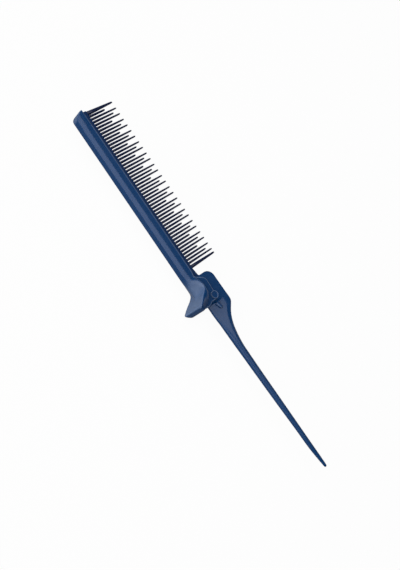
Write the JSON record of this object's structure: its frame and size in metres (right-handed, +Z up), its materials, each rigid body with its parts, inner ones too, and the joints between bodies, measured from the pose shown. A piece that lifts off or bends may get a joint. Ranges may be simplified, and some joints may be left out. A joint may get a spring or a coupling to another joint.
{
  "type": "rat-tail teasing comb with back clamp",
  "caption": "Plastic teasing comb with uneven teeth, a rat-tail handle and a sprung clamp over the back of the blade, opened by a thumb paddle.",
  "frame": {"origin": "centre of the bounding box's underside, with the comb lying flat", "axes": "+X along the comb to the tail tip, +Y towards the tips of the teeth, +Z up, square to the comb's flat sides"},
  "size_m": [0.2302, 0.0331, 0.019],
  "materials": {
    "comb_plastic": "navy blue moulded plastic, satin gloss",
    "clamp_plastic": "navy blue moulded plastic, satin gloss",
    "pin_plastic": "navy blue moulded plastic, satin gloss",
    "spring_wire": "drawn spring wire"
  },
  "bodies": {
    "comb": {"comb_handle": "comb_plastic", "hinge_pin": "pin_plastic", "return_spring": "spring_wire"},
    "clamp": {"back_clamp": "clamp_plastic"}
  },
  "joints": [
    {"name": "clamp_hinge", "type": "hinge", "parent": "comb", "child": "clamp", "pos_m": [0.0054, -0.00215, 0.0095], "axis": [0, 0, 1], "range_deg": [0, 31], "stiffness_Nm_per_rad": 0.35, "springref_deg": -8.59, "deforming": ["return_spring"]}
  ]
}
